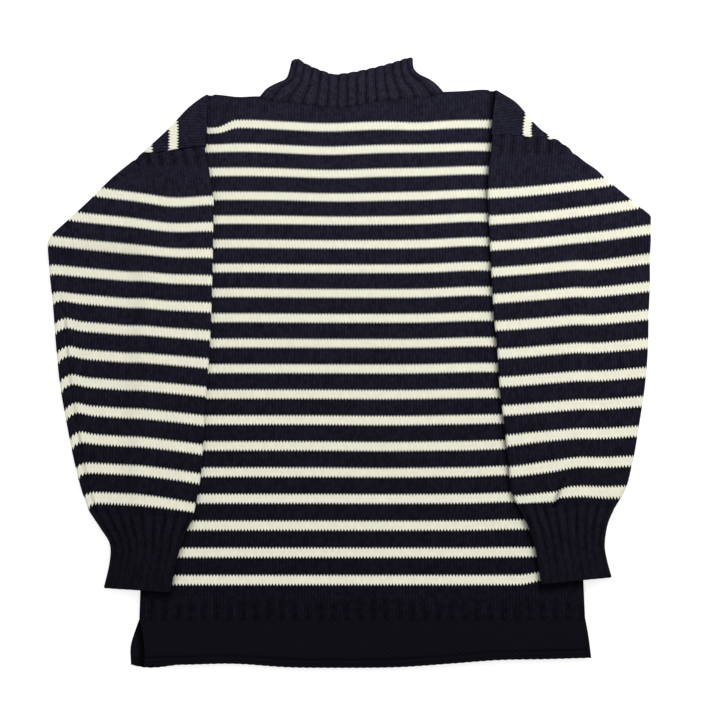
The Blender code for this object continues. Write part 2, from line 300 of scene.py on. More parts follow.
def beyond_fold(side, places):
    """How far places lie past the line where the bend starts, spread out."""
    normal = fold_normal(side)
    axis = np.array(FOLD_EDGE[side]) - normal * FOLD_Z
    return (places[:, :2] - axis) @ normal


def across_fold(side, places):
    """Where places go when the corner is folded over, or spread out again."""
    places = np.atleast_2d(np.array(places, float))
    shift = FOLD_LENGTH - 2 * beyond_fold(side, places)
    return places + shift[:, None] * fold_normal(side)


def fold_over(side, points):
    """Bend what lies beyond the fold up and back over the rest."""
    normal = fold_normal(side)
    beyond = np.maximum(beyond_fold(side, points), 0.0)
    turn = math.pi * np.minimum(beyond / FOLD_LENGTH, 1.0)
    radius = FOLD_Z - points[:, 2]
    past = np.maximum(beyond - FOLD_LENGTH, 0.0)
    shift = radius * np.sin(turn) - past - beyond
    folded = points.copy()
    folded[:, :2] += shift[:, None] * normal
    folded[:, 2] = FOLD_Z - radius * np.cos(turn)
    return folded


def rest_on_table(side, points):
    """Let the folded sleeve down onto the table where it runs past the body's side."""
    past_side = smooth_step((OUTWARD[side] * points[:, 0] - HALF_WIDTH) / DROP_LENGTH)
    past_armpit = smooth_step((ARMPIT_Y[side] - points[:, 1]) / DROP_LENGTH)
    lying = points[:, 2] >= DROP - GAP
    points[:, 2] -= DROP * past_side * past_armpit * lying
    return points


def cut_along_fold(shape, side):
    """Edge lines across the bend, so that it turns evenly."""
    normal = fold_normal(side)
    axis = np.array(FOLD_EDGE[side]) - normal * FOLD_Z
    for step in range(FOLD_CUTS + 1):
        place = axis + normal * (FOLD_LENGTH * step / FOLD_CUTS)
        near = [vert for vert in shape.verts
                if abs((vert.co.x - place[0]) * normal[0]
                       + (vert.co.y - place[1]) * normal[1]) < FOLD_CUT_REACH]
        faces = {face for vert in near for face in vert.link_faces}
        edges = {edge for face in faces for edge in face.edges}
        verts = {vert for face in faces for vert in face.verts}
        bmesh.ops.bisect_plane(shape, geom=[*verts, *edges, *faces], dist=1e-7,
                               plane_co=(place[0], place[1], 0.0),
                               plane_no=(normal[0], normal[1], 0.0))


# Building a shell

def add_object(name, data):
    made = bpy.data.objects.new(name, data)
    bpy.context.scene.collection.objects.link(made)
    return made


def knit_shell(name, across, along, surface, folds=(), let_down=None):
    """A closed shell from two skins.

    surface(a, b, skin) gives plan points, knit coordinates and painted shade for the places a
    across and b along; skin 0 is the one that shows and skin 1 the one inside. The skins meet
    at the edges. Painted shade, 1 deep in seams, between ribs and in cast shadows, darkens the
    wool.
    The shell is folded at the shoulders in folds; let_down is a sleeve that ends on the table.
    """
    shape = bmesh.new()
    layer = shape.loops.layers.uv.new("knit")
    # per-vertex painted shade, which darkens the wool's colour
    painted_shade_layer = shape.verts.layers.float.new("painted_shade")
    rim = []
    for skin in (0, 1):
        made = bmesh.ops.create_grid(shape, x_segments=len(across) - 1,
                                     y_segments=len(along) - 1, size=0.5)["verts"]
        grid = np.array([vert.co for vert in made])
        column = np.rint((grid[:, 0] + 0.5) * (len(across) - 1)).astype(int)
        row = np.rint((grid[:, 1] + 0.5) * (len(along) - 1)).astype(int)
        points, knit, painted_shade = surface(across[column], along[row], skin)
        for vert, point, stitch_course, depth in zip(made, points, knit, painted_shade):
            vert.co = point
            vert[painted_shade_layer] = depth
            for loop in vert.link_loops:
                loop[layer].uv = stitch_course
        edge = (row == 0) | (row == len(along) - 1) | (column == 0) | (column == len(across) - 1)
        rim += [vert for vert, on_edge in zip(made, edge) if on_edge]
    bmesh.ops.remove_doubles(shape, verts=rim, dist=2e-6)
    for side in folds:
        cut_along_fold(shape, side)
    points = np.array([vert.co for vert in shape.verts])
    for side in folds:
        points = fold_over(side, points)
    if let_down:
        points = rest_on_table(let_down, points)
    points = ease_layers(points) + PLAN_TO_FRAME
    for vert, point in zip(shape.verts, points):
        vert.co = point
    bmesh.ops.recalc_face_normals(shape, faces=shape.faces[:])
    for face in shape.faces:
        face.smooth = True
    mesh = bpy.data.meshes.new(name + "_knit")
    shape.to_mesh(mesh)
    shape.free()
    return add_object(name + "_knit", mesh)


def ease_layers(points):
    """The fold's edge bulges a little in places, and the soft corners are rounded."""
    for side, along, reach, amount in FOLD_BULGES:
        normal = fold_normal(side)
        line = np.array((-normal[1], normal[0]))
        offset = points[:, :2] - np.array(FOLD_EDGE[side])
        near = bump(np.minimum(offset @ normal, 0.0), 0.0, FOLD_BULGE_DEPTH)
        push = amount * bump(offset @ line, along, reach) * near
        points[:, :2] += push[:, None] * normal
    for corner, lean, depth in SOFT_CORNERS:
        outward = np.array((math.cos(math.radians(lean)), math.sin(math.radians(lean))))
        proud = (points[:, :2] - np.array(corner)) @ outward + depth
        away = np.linalg.norm(points[:, :2] - np.array(corner), axis=1)
        pulled = np.maximum(proud, 0.0) * (
            1 - smooth_step((away - CORNER_REACH) / CORNER_FADE))
        softness = CORNER_SOFTNESS * depth
        pulled = pulled - softness * (1 - np.exp(-pulled / softness))
        points[:, :2] -= pulled[:, None] * outward
    return points


# Body

def skin_height(skin, visible_z, hidden_z, free, sewn):
    """Height of a skin where the edges are rounded; sewn edges stay level on the outside."""
    middle = (visible_z + hidden_z) / 2
    met = middle + np.where(sewn < free, SEWN_LEVEL, 0.0) * (visible_z - middle)
    face = hidden_z if skin else visible_z
    return met + (face - met) * np.minimum(free, sewn)


def body_surface(is_front, course_warp):
    """Places on a body panel spread out, with its two shoulder corners."""
    visible_z, hidden_z = (2 * WALL + GAP, WALL + GAP) if is_front else (0.0, WALL)
    inward = -1 if is_front else 1
    head = {side: across_fold(side, SLEEVE_HEAD_INNER[side])[0] for side in SIDES}

    def side_x(side, y):
        hem = HEM_LEFT if side == "left" else HEM_RIGHT
        straight = np.interp(y, (WELT_TOP, ARMPIT_Y[side], head[side][1]),
                             (hem, OUTWARD[side] * HALF_WIDTH, head[side][0]))
        return straight + OUTWARD[side] * armhole_curve(side, y)

    def top_y(x):
        flat = np.interp(x, (head["left"][0], SHOULDER_TIP["left"][0], NECK_LEFT[0],
                             NECK_RIGHT[0], SHOULDER_TIP["right"][0], head["right"][0]),
                         (head["left"][1], SHOULDER_TIP["left"][1], NECK_LEFT[1],
                          NECK_RIGHT[1], SHOULDER_TIP["right"][1], head["right"][1]))
        q = np.clip((x - NECK_LEFT[0]) / (NECK_RIGHT[0] - NECK_LEFT[0]), 0, 1)
        flat = flat + 0.0012 * bump(x, 0.150, 0.012) - 0.0020 * bump(x, -0.152, 0.016)
        return flat - (neck_dip(q) if is_front else BACK_NECK_DEPTH * 4 * q * (1 - q))

    def surface(a, b, skin):
        height = 0.5 * (head["left"][1] + head["right"][1]) - WELT_TOP
        left = side_x("left", WELT_TOP + b * height)
        right = side_x("right", WELT_TOP + b * height)
        x = left + a * (right - left)
        y = WELT_TOP + b * (top_y(x) - WELT_TOP)
        to_side = np.minimum(x - left, right - x)
        at_armhole = y > np.where(x < 0, ARMPIT_Y["left"], ARMPIT_Y["right"])
        free = edge_round(to_side + FAR * at_armhole, FREE_ROUND)
        sewn = np.minimum(edge_round(to_side + FAR * ~at_armhole, SEWN_ROUND),
                          edge_round(np.minimum(y - WELT_TOP, top_y(x) - y), SEWN_ROUND))
        course = (FIRST_STRIPE_Y + course_warp(x, y) - y) / BODY_PERIOD * PERIOD_COURSES
        stitch = x / STITCH
        z = skin_height(skin, visible_z, hidden_z, free, sewn)
        in_rib = smooth_step((HEM_RIB_TOP + 0.0012 * np.sin(x * 40) - y) / 0.004)
        valley = rib_valley(stitch / HEM_RIB_STITCHES, WELT_RIB_NARROWNESS) * in_rib
        neck_seam = is_front * bump(top_y(x) - y, 0.0, 0.0022) * (x > NECK_LEFT[0]) * (
            x < NECK_RIGHT[0])
        armhole_seam = bump(to_side, 0.0, 0.0016) * at_armhole
        if not skin:
            depth = 0.0013 * valley + 0.0002 * armhole_seam
            z = z + inward * depth * np.minimum(free, sewn)
        # Painted shade in the hem rib valleys and along the neck and armhole seams, and painted
        # shadow beside and below the folded sleeves on the front.
        painted_shade = 0.46 * valley + 0.35 * neck_seam + 0.15 * armhole_seam
        painted_shade = np.clip(painted_shade + is_front * painted_sleeve_shadow(x, y), 0, 1)
        knit = np.stack([stitch, course + STRIPE_COURSES / 2], 1)
        return np.stack([x, y, z], 1), knit, painted_shade

    return surface


def painted_sleeve_shadow(x, y):
    """Painted shadow on the front beside and below the folded sleeves and their cuffs: how dark
    it is at each place.
    """
    painted_shadow = 0 * x
    for side, by_sleeve, by_cuff in (("left", 0.10, 0.45), ("right", 0.80, 0.80)):
        inner = [(section[3], section[2]) for section in reversed(CUFF_SECTIONS[side])]
        inner += [(up, across) for across, up in reversed(TOP_SIDE[side])]
        inner += [SLEEVE_HEAD_INNER[side][::-1], (0.705, SLEEVE_HEAD_INNER[side][0] + 0.004)]
        heights, places = np.array(inner).T
        past = OUTWARD[side] * (np.interp(y, heights, places) - x)
        amount = by_cuff + (by_sleeve - by_cuff) * smooth_step((y - 0.16) / 0.05)
        beside = amount * bump(np.maximum(past, 0), 0.0, 0.0042) * (y > heights[0] - 0.004)
        out_x, out_y, in_x, in_y = CUFF_SECTIONS[side][-1]
        lower = in_y + (x - in_x) / (out_x - in_x) * (out_y - in_y)
        below = 0.85 * bump(np.maximum(lower - y, 0), 0.0, 0.0075)
        below = below * smooth_step((OUTWARD[side] * (x - in_x) + 0.006) / 0.006)
        painted_shadow = np.maximum(painted_shadow, np.maximum(beside * (past > -0.02), below))
    return painted_shadow


def armhole_curve(side, y):
    """How far the armhole seam bulges away from a straight line."""
    amount, lift, reach = ARMHOLE_BULGE[side]
    at_fold = across_fold(side, FOLD_EDGE[side])[0][1]
    return amount * bump(y, at_fold + lift, reach)


def front_courses(x, y):
    """How far the front's courses lie above level ones."""
    # beside the sleeves and below the neck
    warp = 0.0034 * bump(x, 0.145, 0.050) * bump(y, 0.50, 0.17)
    warp -= 0.0030 * bump(x, -0.040, 0.050) * smooth_step((y - 0.52) / 0.12)
    warp += 0.0016 * bump(x, -0.145, 0.035) * smooth_step((y - 0.56) / 0.10)
    warp -= 0.0020 * bump(x, 0.070, 0.030) * smooth_step((y - 0.62) / 0.04)
    warp -= 0.0100 * smooth_step((-0.152 - x) / 0.028) * smooth_step((y - 0.625) / 0.03)
    # slow waves over the middle
    warp += 0.0009 * smooth_step((0.42 - y) / 0.25)
    warp -= 0.0013 * bump(x, -0.015, 0.060) * bump(y, 0.555, 0.045)
    warp -= 0.0008 * bump(x, 0.030, 0.060) * bump(y, 0.260, 0.080)
    warp += 0.0010 * bump(x, -0.150, 0.070) * bump(y, 0.450, 0.080)
    # below and beside the right cuff
    warp += 0.0070 * smooth_step((x - 0.18) / 0.04) * bump(y, 0.092, 0.022)
    warp += 0.0020 * smooth_step((x - 0.12) / 0.06) * bump(y, 0.215, 0.075)
    return warp


def back_courses(x, y):
    """How far the back's courses lie above level ones."""
    warp = 0.0015 * np.sin(9 * x + 1.0) * bump(y, 0.35, 0.2)
    warp += 0.0100 * smooth_step((x - 0.15) / 0.05) * smooth_step((y - 0.55) / 0.08)
    warp += 0.0050 * smooth_step((x - 0.205) / 0.030) * smooth_step((y - 0.55) / 0.08)
    return warp


def make_body(knit):
    across = spaced(190, 0.0006, 0.0018, 0.0032, 0.0050)
    along = spaced(132, 0.0003, 0.0008, 0.0016, 0.0032)
    front = knit_shell("front", across, along, folds=SIDES,
                       surface=body_surface(True, front_courses))
    back = knit_shell("back", across, along, folds=SIDES,
                      surface=body_surface(False, back_courses))
    for piece in (front, back):
        finish_piece(piece, knit)
    return front, back


# Welts

def welt_surface(outline, is_front):
    """Places on a welt, with its cast-on cord near the lower edge and rib ends at its top."""
    visible_z, hidden_z = (2 * WALL + GAP, WALL + GAP) if is_front else (0.0, WALL)
    inward = -1 if is_front else 1

    def surface(a, b, skin):
        low_left, low_right = outline["lower"][0][1], outline["lower"][-1][1]
        left = across_at(outline["left"], low_left + b * (WELT_TOP - low_left))
        right = across_at(outline["right"], low_right + b * (WELT_TOP - low_right))
        x = left + a * (right - left)
        low = height_at(outline["lower"], x)
        low = low - 0.0005 * np.abs(np.sin(np.pi * x / WELT_SCALLOP)) + 0.0003
        y = low + b * (WELT_TOP - low)
        free = np.minimum(edge_round(np.minimum(x - left, right - x), FREE_ROUND),
                          edge_round(y - low, FREE_ROUND))
        sewn = edge_round(WELT_TOP - y, SEWN_ROUND)
        z = skin_height(skin, visible_z, hidden_z, free, sewn)
        above_cord = bump(y - low, CAST_ON_HEIGHT + 0.0026, 0.0011)
        below_cord = bump(y - low, CAST_ON_HEIGHT - 0.0026, 0.0011)
        rib_end = smooth_step((y - WELT_TOP + 0.0060) / 0.003)
        valley = rib_valley(x / STITCH / HEM_RIB_STITCHES, WELT_RIB_NARROWNESS) * rib_end
        if not skin:
            groove = 0.0010 * above_cord + 0.0007 * below_cord + 0.0013 * valley
            groove += 0.0004 * smooth_step((y - low - CAST_ON_HEIGHT) / 0.004) * (1 - rib_end)
            z = z + inward * groove * np.minimum(free, sewn)
        # Painted shade beside the cast-on cord and in the rib valleys.
        painted_shade = 0.7 * above_cord + 0.4 * below_cord + 0.35 * valley
        # Painted shadow on the back welt beside the front welt's edge.
        if not is_front:
            front_edge = across_at(FRONT_WELT["left"], y)
            painted_shade = painted_shade + 1.25 * smooth_step((x - front_edge + 0.0095) / 0.007)
        painted_shade = np.clip(painted_shade, 0, 1)
        knit = np.stack([x / STITCH, (WELT_TOP - y) / BODY_PERIOD * PERIOD_COURSES], 1)
        return np.stack([x, y, z], 1), knit, painted_shade

    return surface


def make_welts(moss):
    across = spaced(250, 0.0006, 0.0018, 0.0032)
    along = spaced(30, 0.004, 0.012, 0.028)
    front = knit_shell("front_welt", across, along, welt_surface(FRONT_WELT, is_front=True))
    back = knit_shell("back_welt", across, along, welt_surface(BACK_WELT, is_front=False))
    for piece in (front, back):
        finish_piece(piece, moss)
    return front, back


# Flattened tubes

def tube_places(walls, arcs):
    """Places round a flattened tube: lower wall 0 to 1, its far side 1 to 2, upper wall 2 to
    3, and the near side 3 to 4."""
    wall = np.linspace(0, 1, walls + 1)
    arc = np.linspace(0, 1, arcs + 1)[1:-1]
    return np.concatenate([wall, 1 + arc, 2 + wall, 3 + arc, [4.0]])


def tube_section(w, start, end, bow, radius):
    """Points of the section at w, and how far each is round the tube from its far side."""
    length = np.linalg.norm(end - start, axis=1)
    line = (end - start) / length[:, None]
    flat = length - 2 * TUBE_RADIUS
    turn = np.pi * (w - np.floor(w))
    quarter = np.minimum(np.floor(w).astype(int), 3)
    quarters = [quarter == number for number in range(4)]
    reach = np.select(quarters, [
        TUBE_RADIUS + flat * w, length - TUBE_RADIUS + radius * np.sin(turn),
        TUBE_RADIUS + flat * (3 - w), TUBE_RADIUS - radius * np.sin(turn)])
    rise = np.select(quarters, [-radius, -radius * np.cos(turn), radius, radius * np.cos(turn)])
    rise = np.where(w >= 4.0, -radius, rise)
    q = reach / length
    xy = start + line * reach[:, None]
    xy[:, 1] += bow * 4 * q * (1 - q)
    half_arc = np.pi * TUBE_RADIUS / 2
    round_it = np.select(quarters, [
        -(flat * (1 - w) + half_arc), (w - 1.5) * 2 * half_arc,
        flat * (w - 2) + half_arc, flat + half_arc + half_arc * np.sin(turn)])
    return xy, TUBE_RADIUS + rise, round_it


def wall_radius(skin, relief, to_sewn, to_free=FAR):
    """Radius of a tube's skins; they meet at its two ends, which are rounded where free."""
    free, sewn = edge_round(to_free, TUBE_END_ROUND), edge_round(to_sewn, SEWN_ROUND)
    full = GAP / 2 if skin else TUBE_RADIUS - relief
    met = np.where(sewn < free, TUBE_RADIUS - 0.0001 - relief, (TUBE_RADIUS + GAP / 2) / 2)
    return met + (full - met) * np.minimum(free, sewn)


def sleeve_line(side, period):
    """The two ends and the bow of the course line at a number of stripe periods."""
    inner_y, middle_y, outer_y = [first - step * period for first, step in STRIPE_LINES[side]]
    inner = np.stack([across_at(TOP_SIDE[side], inner_y), inner_y], 1)
    outer = np.stack([across_at(UNDERARM_SIDE[side], outer_y), outer_y], 1)
    bow = middle_y - (inner_y + outer_y) / 2
    return outer, inner, bow


def underarm_seam(side, w, length, period):
    """How far courses are shifted near the left underarm seam, and its groove: beyond it the
    other half's courses run downhill. Both are 0 on the right sleeve."""
    if side == "right":
        return 0 * w, 0 * w
    reach = 0.0118 * smooth_step((period - 2.0) / 3.0)
    reach = reach - 0.0045 * smooth_step((period - 7.5) / 3.5)
    from_edge = np.where(w <= 1, length * w, np.where(w >= 3, -0.004, -length * (3 - w)))
    past = reach - from_edge
    past = (past + np.sqrt(past**2 + 0.0035**2)) / 2
    past = np.minimum(past, 0.024) * smooth_step((length + from_edge) / 0.1)
    past = past * smooth_step((period - 1.2) / 1.5)
    steep = 0.20 + 0.26 * smooth_step((period - 3.0) / 4)
    crest = 0.0030 * bump(from_edge, reach + 0.001, 0.012)
    crest = crest * smooth_step((period - 3.2) / 1.5) * smooth_step((10.0 - period) / 1.5)
    shift = (crest - steep * past) / UNDERARM_PERIOD * PERIOD_COURSES
    groove = bump(from_edge, reach, 0.0013) * smooth_step((period - 3.0) / 2.5)
    return shift, groove


def slack(side, xy, period):
    """How far the courses sag below straight ones, in courses."""
    x = xy[:, 0]
    if side == "left":
        sag = 0.0012 + 0.0008 * smooth_step((3.5 - period) / 3)
        sag = sag + 0.0034 * bump(x, -0.228, 0.036) * smooth_step((2.8 - period) / 2.8)
        sag = sag + 0.0012 * bump(x, -0.228, 0.030) * smooth_step((6.0 - period) / 3)
    else:
        sag = 0.0042 * smooth_step((4.4 - period) / 4.0) * bump(x, 0.195, 0.11)
        sag = sag - 0.0014 * smooth_step((period - 4.0) / 2) * bump(x, 0.150, 0.020)
        sag = sag - 0.0010 * smooth_step((period - 9.0) / 1.5)
        sag = sag + 0.0010 * smooth_step((x - 0.25) / 0.05)
        sag = sag + 0.0014 * smooth_step((period - 8.0) / 3) * smooth_step((x - 0.24) / 0.06)
    return sag / SLACK_PERIOD * PERIOD_COURSES


def soft_pleat(side, xy):
    """A short slanting pleat above the right cuff, and how far the courses step down to its
    left. Both are 0 on the left sleeve."""
    if side == "left":
        return 0 * xy[:, 0], 0 * xy[:, 0]
    start, end = np.array((0.2235, 0.1800)), np.array((0.2430, 0.2260))
    line = (end - start) / np.linalg.norm(end - start)
    offset = xy - start
    along = offset @ line
    aside = offset @ np.array((line[1], -line[0]))
    groove = bump(aside, -0.001, 0.0026) * bump(along, 0.014, 0.022)
    width = 0.004 + 0.030 * smooth_step((along - 0.012) / 0.030)
    to_left = smooth_step((width / 2 - aside) / width)
    step = 1.6 * to_left * smooth_step((0.075 - along) / 0.060)
    step -= 0.60 * bump(xy[:, 0], 0.296, 0.009) * smooth_step((0.040 - along) / 0.030)
    return groove, step


def sleeve_surface(side):
    """Places round a sleeve from its head, at the armhole, down to the cuff's seam."""
    armpit = across_fold(side, (OUTWARD[side] * HALF_WIDTH, ARMPIT_Y[side]))[0]
    head = np.array(SLEEVE_HEAD_INNER[side])
    head_period = -SLEEVE_HEAD_COURSES / PERIOD_COURSES
    last = SLEEVE_STRIPES - 1
    seam_period = last + 0.42
    seam = CUFF_SECTIONS[side][0]

    def surface(w, b, skin):
        period = head_period + b * (seam_period - head_period)
        outer, inner, bow = sleeve_line(side, np.clip(period, 0, last))
        to_head = np.clip(period / head_period, 0, 1)[:, None]
        to_seam = np.clip((period - last) / (seam_period - last), 0, 1)[:, None]
        outer = outer + (armpit - outer) * to_head + (np.array(seam[:2]) - outer) * to_seam
        inner = inner + (head - inner) * to_head + (np.array(seam[2:]) - inner) * to_seam
        bow = bow * (1 - to_head[:, 0]) * (1 - to_seam[:, 0])
        course = period * PERIOD_COURSES + STRIPE_COURSES / 2
        ends = np.minimum(b, 1 - b) * 0.45
        xy, _, round_it = tube_section(w, outer, inner, bow, TUBE_RADIUS)
        from_head = course - STRIPE_COURSES / 2 + SLEEVE_HEAD_COURSES
        in_rib = 1 - smooth_step((from_head - SLEEVE_HEAD_RIB) / 1.2)
        valley = in_rib * rib_valley(round_it / STITCH / HEM_RIB_STITCHES,
                                     WELT_RIB_NARROWNESS)
        head_seam = bump(from_head, 0.0, 0.7)
        length = np.linalg.norm(outer - inner, axis=1)
        course_shift, seam_groove = underarm_seam(side, w, length, period)
        pleat, step_down = soft_pleat(side, xy)
        pleat = pleat * (w <= 1)
        cuff_phase = round_it / length * CUFF_RIBS + 0.5
        near_cuff = smooth_step((period - last - 0.17) / 0.12)
        cuff_valley = rib_valley(cuff_phase, CUFF_RIB_NARROWNESS)
        valley = np.maximum(valley, 0.9 * near_cuff * cuff_valley)
        relief = 0.0014 * valley + 0.0006 * seam_groove + 0.0016 * pleat
        relief += 0.0002 * head_seam
        radius = wall_radius(skin, relief, ends)
        armhole = armhole_curve(side, across_fold(side, xy)[:, 1]) * to_head[:, 0] ** 3
        xy, z = tube_section(w, outer, inner, bow, radius)[:2]
        spread = across_fold(side, xy)
        spread[:, 0] += OUTWARD[side] * armhole
        # Painted shade in the rib valleys, along the head seam, in the underarm seam's groove
        # and in the pleat.
        painted_shade = 0.55 * valley + 0.15 * head_seam + 0.50 * seam_groove + 0.7 * pleat
        painted_shade = np.clip(painted_shade, 0, 1)
        knit_course = course + course_shift - step_down - slack(side, xy, period)
        return (np.column_stack([spread, z]),
                np.stack([round_it / STITCH, knit_course], 1), painted_shade)

    return surface


def make_sleeve(side, knit):
    along = spaced(150, 0.0006, 0.0016)
    sleeve = knit_shell("sleeve_" + side, tube_places(64, 6), along, sleeve_surface(side),
                        folds=(side,), let_down=side)
    finish_piece(sleeve, knit)
    return sleeve


def section_at(sections, b):
    """The numbers of a section at b, smoothly between the given ones."""
    table = np.array(sections)
    knots = np.linspace(0, 1, len(table))
    return np.stack([hermite(knots, column, b) for column in table.T], 1)


def cuff_surface(side):
    """Places round a cuff from its seam down to its free end."""
    def surface(w, b, skin):
        row = section_at(CUFF_SECTIONS[side], b)
        round_it = tube_section(w, row[:, :2], row[:, 2:4], 0.0, TUBE_RADIUS)[2]
        length = np.linalg.norm(row[:, 2:4] - row[:, :2], axis=1)
        phase = round_it / length * CUFF_RIBS + 0.5
        valley = rib_valley(phase, CUFF_RIB_NARROWNESS)
        valley = valley * (0.85 + 0.15 * np.sin(phase * 2.6 + 9 * b))
        valley = valley * (1 - 0.60 * smooth_step((b - 0.25) / 0.6))
        relief = 0.0016 * valley
        radius = wall_radius(skin, relief, b * 0.085, (1 - b) * 0.085)
        xy, z = tube_section(w, row[:, :2], row[:, 2:4], 0.0, radius)[:2]
        xy[:, 1] += 0.0005 * valley * smooth_step((b - 0.9) / 0.1)
        spread = across_fold(side, xy)
        # The third value is painted shade in the valleys between the ribs.
        return np.column_stack([spread, z]), np.stack([phase * 4, b * 34], 1), 0.75 * valley

    return surface


def make_cuff(side, rib):
    cuff = knit_shell("cuff_" + side, tube_places(72, 6), spaced(34, 0.004, 0.012),
                      cuff_surface(side), folds=(side,), let_down=side)
    finish_piece(cuff, rib)
    return cuff


def collar_rib_line(place, b, row):
    """Ribs run straight from the seam to the rim, and follow the outline near the two ends."""
    reached = np.interp(b, (0, 0.2, 0.4, 0.6, 0.8, 1), (0, 0.25, 0.41, 0.54, 0.69, 1))
    lines = []
    for section, spread in ((COLLAR_SECTIONS[0], COLLAR_SPREAD[0]),
                            (COLLAR_SECTIONS[-1], COLLAR_SPREAD[1])):
        middle, half = (section[0] + section[2]) / 2, (section[2] - section[0]) / 2
        lines.append((middle + half * (spread * place + (1 - spread) * place**3),
                      middle - half, middle + half))
    line, left, right = (low + (high - low) * reached for low, high in zip(*lines))
    drawn = np.where(place < 0, row[:, 0] - left, row[:, 2] - right) * place**4
    return (line + drawn - row[:, 0]) / (row[:, 2] - row[:, 0])


def collar_surface(w, b, skin):
    """Places round the collar from its seam up to its rim; the upper wall is the front one."""
    row = section_at(COLLAR_SECTIONS, b)
    on_lower, on_upper = w <= 1, (w >= 2) & (w <= 3)
    place = np.where(on_lower, w, np.where(on_upper, 3 - w, 0.5)) * 2 - 1
    spaced_place = collar_rib_line(place, b, row)
    moved = np.where(on_lower, spaced_place, np.where(on_upper, 3 - spaced_place, w))
    phase = np.select([on_lower, on_upper, w < 2], [COLLAR_RIBS * (w - 1),
                      COLLAR_RIBS * (w - 2), 0 * w], COLLAR_RIBS) + 0.5
    valley = rib_valley(phase, COLLAR_RIB_NARROWNESS)
    seam = bump(b, 0.0, 0.05)
    relief = 0.0017 * valley
    radius = wall_radius(skin, relief, b * 0.055, (1 - b) * 0.055)
    xy, z = tube_section(moved, row[:, :2], row[:, 2:4], 0.0, radius)[:2]
    length = np.linalg.norm(row[:, 2:4] - row[:, :2], axis=1)
    q = np.clip(np.linalg.norm(xy - row[:, :2], axis=1) / length, 0, 1)
    turn = np.pi * (w - np.floor(w))
    upper = np.select([on_lower, on_upper, w < 2, w < 4],
                      [0 * w, 1 + 0 * w, (1 - np.cos(turn)) / 2,
                       (1 + np.cos(turn)) / 2], 0.0)
    at_rim = smooth_step((b - 0.55) / 0.45)
    front_dip = neck_dip(q) * (1 - smooth_step(b / 0.6)) + rim_dip(q) * at_rim
    front_dip += (1 - at_rim) * smooth_step(b / 0.6) * row[:, 4] * 4 * q * (1 - q)
    back_dip = row[:, 5] * 4 * q * (1 - q) * (1 - at_rim) + (rim_dip(q) - 0.001) * at_rim
    xy[:, 1] -= back_dip + (front_dip - back_dip) * upper
    xy[:, 1] -= 0.0010 * valley * smooth_step((b - 0.85) / 0.15)
    # Painted shade in the rib valleys and along the seam of the front wall.
    painted_shade = np.clip(0.62 * valley + 0.30 * seam * upper, 0, 1)
    return np.column_stack([xy, z]), np.stack([phase * 4, (1 - b) * 20], 1), painted_shade


def make_collar(rib):
    collar = knit_shell("collar", tube_places(150, 6), spaced(24, 0.006, 0.018),
                        collar_surface)
    finish_piece(collar, rib)
    return collar


# Wool

def new_group(name, inputs, outputs):
    group = bpy.data.node_groups.new(name, "ShaderNodeTree")
    for label, kind in inputs:
        group.interface.new_socket(name=label, in_out="INPUT", socket_type=kind)
    for label, kind in outputs:
        group.interface.new_socket(name=label, in_out="OUTPUT", socket_type=kind)
    return group, group.nodes.new("NodeGroupInput"), group.nodes.new("NodeGroupOutput")


def is_number(value):
    return isinstance(value, (int, float))


def math_node(tree, operation, *values):
    """A maths node with numbers or sockets on its inputs; returns its output."""
    node = tree.nodes.new("ShaderNodeMath")
    node.operation = operation
    for index, value in enumerate(values):
        if is_number(value):
            node.inputs[index].default_value = value
        else:
            tree.links.new(value, node.inputs[index])
    return node.outputs[0]


def stitch_group():
    """Plain knit: each stitch is a V of two slanting legs, with a gap between the columns."""
    tree, start, end = new_group(
        "plain_knit", [("Knit", "NodeSocketVector")],
        [("Height", "NodeSocketFloat"), ("Course", "NodeSocketFloat"),
         ("Relief", "NodeSocketFloat"), ("Uneven", "NodeSocketFloat")])
    maths = partial(math_node, tree)
    split = tree.nodes.new("ShaderNodeSeparateXYZ")
    tree.links.new(start.outputs["Knit"], split.inputs[0])
    stitch, course = split.outputs[0], split.outputs[1]
    part = maths("FRACT", stitch)
    aside = maths("ABSOLUTE", maths("SUBTRACT", part, 0.5))
    slant = maths("MULTIPLY", aside, LEG_SLANT)
    raised = maths("ADD", course, slant)
    leg = maths("ABSOLUTE", maths("SINE", maths("MULTIPLY", stitch, 2 * math.pi)))
    column = maths("MULTIPLY_ADD", maths("COSINE", maths("MULTIPLY", aside, 2 * math.pi)),
                   0.5, 0.5)
    row = maths("ABSOLUTE", maths("SINE", maths("MULTIPLY", raised, math.pi)))
    soft_row = maths("MULTIPLY_ADD", row, 0.5, 0.5)
    legs = maths("POWER", leg, 0.6)
    shaped = maths("MULTIPLY_ADD", column, COLUMN_SHARE, maths("MULTIPLY", legs, LEG_SHARE))
    height = maths("MULTIPLY", shaped, soft_row)
    whole = maths("FLOOR", raised)
    place = tree.nodes.new("ShaderNodeCombineXYZ")
    tree.links.new(maths("FLOOR", stitch), place.inputs[0])
    tree.links.new(whole, place.inputs[1])
    noise = tree.nodes.new("ShaderNodeTexWhiteNoise")
    noise.noise_dimensions = "2D"
    tree.links.new(place.outputs[0], noise.inputs["Vector"])
    tree.links.new(height, end.inputs["Height"])
    tree.links.new(whole, end.inputs["Course"])
    tree.links.new(maths("SUBTRACT", height, KNIT_MEAN), end.inputs["Relief"])
    tree.links.new(maths("SUBTRACT", noise.outputs["Value"], 0.5), end.inputs["Uneven"])
    return tree


